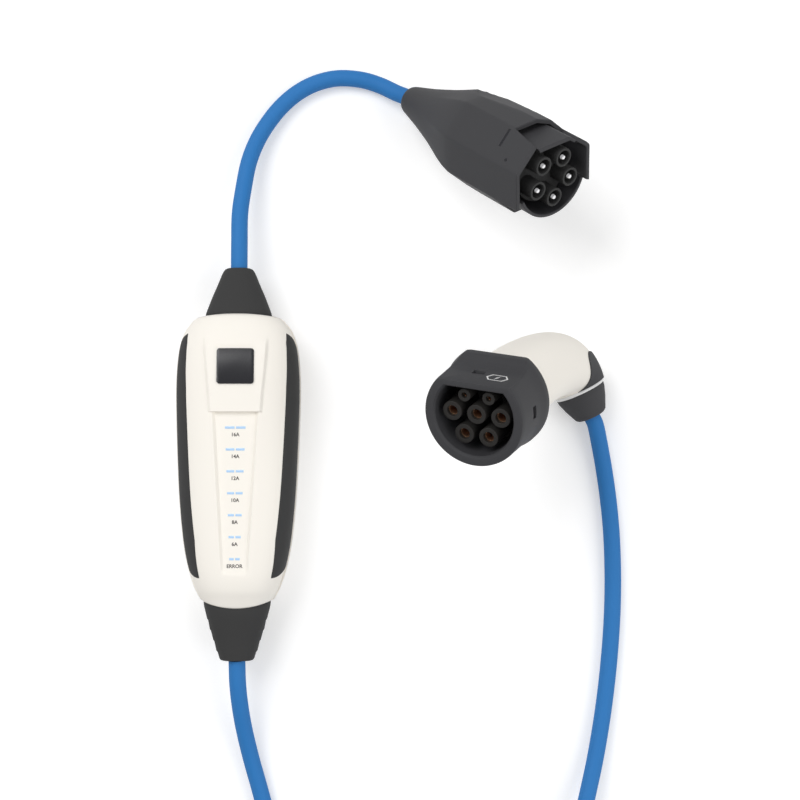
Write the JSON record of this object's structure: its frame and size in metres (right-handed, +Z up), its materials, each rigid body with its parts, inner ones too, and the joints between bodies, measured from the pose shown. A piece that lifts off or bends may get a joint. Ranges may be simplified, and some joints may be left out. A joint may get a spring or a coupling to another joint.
{
  "type": "portable vehicle charger",
  "caption": "Slim cream control box with dark grips and a column of light bars, a short cord to a round pin plug and a long blue cord to a vehicle charging connector.",
  "frame": {"origin": "middle of the control box's back, on the floor", "axes": "+Y along the box to its supply end, +X to its right, +Z up out of its front"},
  "size_m": [0.2982, 0.7011, 0.1568],
  "materials": {
    "cream_plastic": "satin moulded, cream",
    "dark_rubber": "matt, fine grain",
    "grey_rubber": "matt, soft",
    "badge_gloss": "high gloss",
    "light_guide": "clear pale blue, lit",
    "dark_plastic": "satin moulded",
    "black_plastic": "satin moulded",
    "screw_steel": "plated",
    "board_green": "lacquered board",
    "terminal_green": "moulded",
    "varistor_blue": "dipped",
    "white_plastic": "moulded",
    "core_copper": "insulated cores",
    "pin_metal": "nickel plated",
    "contact_metal": "turned, plated",
    "cord_blue": "satin sheath"
  },
  "bodies": {
    "root": {"front_shell": "cream_plastic", "rear_shell": "cream_plastic", "shell_seal": "dark_rubber", "left_grip": "dark_rubber", "right_grip": "dark_rubber", "badge_plate": "badge_gloss", "light_guide": "light_guide", "upper_boot": "dark_rubber", "lower_boot": "dark_rubber", "upper_clamp": "dark_plastic", "lower_clamp": "dark_plastic", "clamp_screws": "screw_steel", "shell_screws": "screw_steel", "main_board": "board_green", "board_screws": "screw_steel", "relay_1": "black_plastic", "relay_2": "black_plastic", "relay_3": "black_plastic", "relay_4": "black_plastic", "current_sensor": "black_plastic", "supply_module": "black_plastic", "varistors": "varistor_blue", "inlet_terminal": "terminal_green", "outlet_terminal": "terminal_green", "display_board": "board_green", "display_leds": "white_plastic", "display_screws": "screw_steel", "supply_cores": "core_copper", "charge_cores": "core_copper", "supply_cord": "cord_blue", "plug_housing": "dark_plastic", "plug_insert": "black_plastic", "plug_pin_1": "pin_metal", "plug_pin_2": "pin_metal", "plug_pin_3": "pin_metal", "plug_pin_4": "pin_metal", "plug_pin_5": "pin_metal", "plug_cores": "core_copper", "connector_body": "cream_plastic", "connector_collar": "dark_plastic", "contact_carrier": "black_plastic", "earth_contact": "contact_metal", "power_contact_1": "contact_metal", "power_contact_2": "contact_metal", "power_contact_3": "contact_metal", "power_contact_4": "contact_metal", "signal_contact_1": "contact_metal", "signal_contact_2": "contact_metal", "grip_inset": "grey_rubber", "trim_ring": "white_plastic", "connector_boot": "grey_rubber", "connector_cores": "core_copper", "charge_cord_box_run": "cord_blue", "charge_cord_coil": "cord_blue", "charge_cord_connector_run": "cord_blue", "cord_ties": "black_plastic"}
  },
  "joints": []
}
